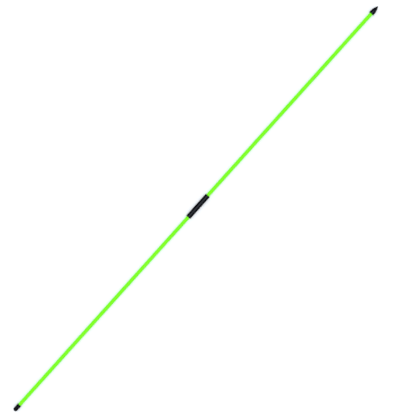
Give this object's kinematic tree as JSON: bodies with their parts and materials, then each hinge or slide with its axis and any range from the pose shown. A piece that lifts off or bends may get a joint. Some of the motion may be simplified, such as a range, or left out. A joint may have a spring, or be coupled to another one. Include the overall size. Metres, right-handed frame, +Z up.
{
  "type": "golf alignment stick",
  "caption": "Slim round practice stick in two push-together rods, with a sleeve joint at mid-length, a pointed ground tip at one end and a soft rounded cap at the other.",
  "frame": {"origin": "on the ground under the middle of the stick's length, with the stick lying on its side", "axes": "+X along the stick towards the pointed tip, +Z up from the ground"},
  "size_m": [1.21, 0.0114, 0.0113],
  "materials": {
    "green_rod": "satin",
    "black_plastic": "satin",
    "black_rubber": "matte"
  },
  "bodies": {
    "tip_half": {"pointed_tip": "black_plastic", "tip_rod": "green_rod", "joining_sleeve": "black_plastic"},
    "cap_half": {"cap_rod": "green_rod"},
    "rubber_cap": {"end_cap": "black_rubber"}
  },
  "joints": [
    {"name": "halves_pull_apart", "type": "slide", "parent": "tip_half", "child": "cap_half", "axis": [-1, 0, 0], "range_m": [0, 0.045]},
    {"name": "end_cap_pull_off", "type": "slide", "parent": "cap_half", "child": "rubber_cap", "axis": [-1, 0, 0], "range_m": [0, 0.025]}
  ]
}
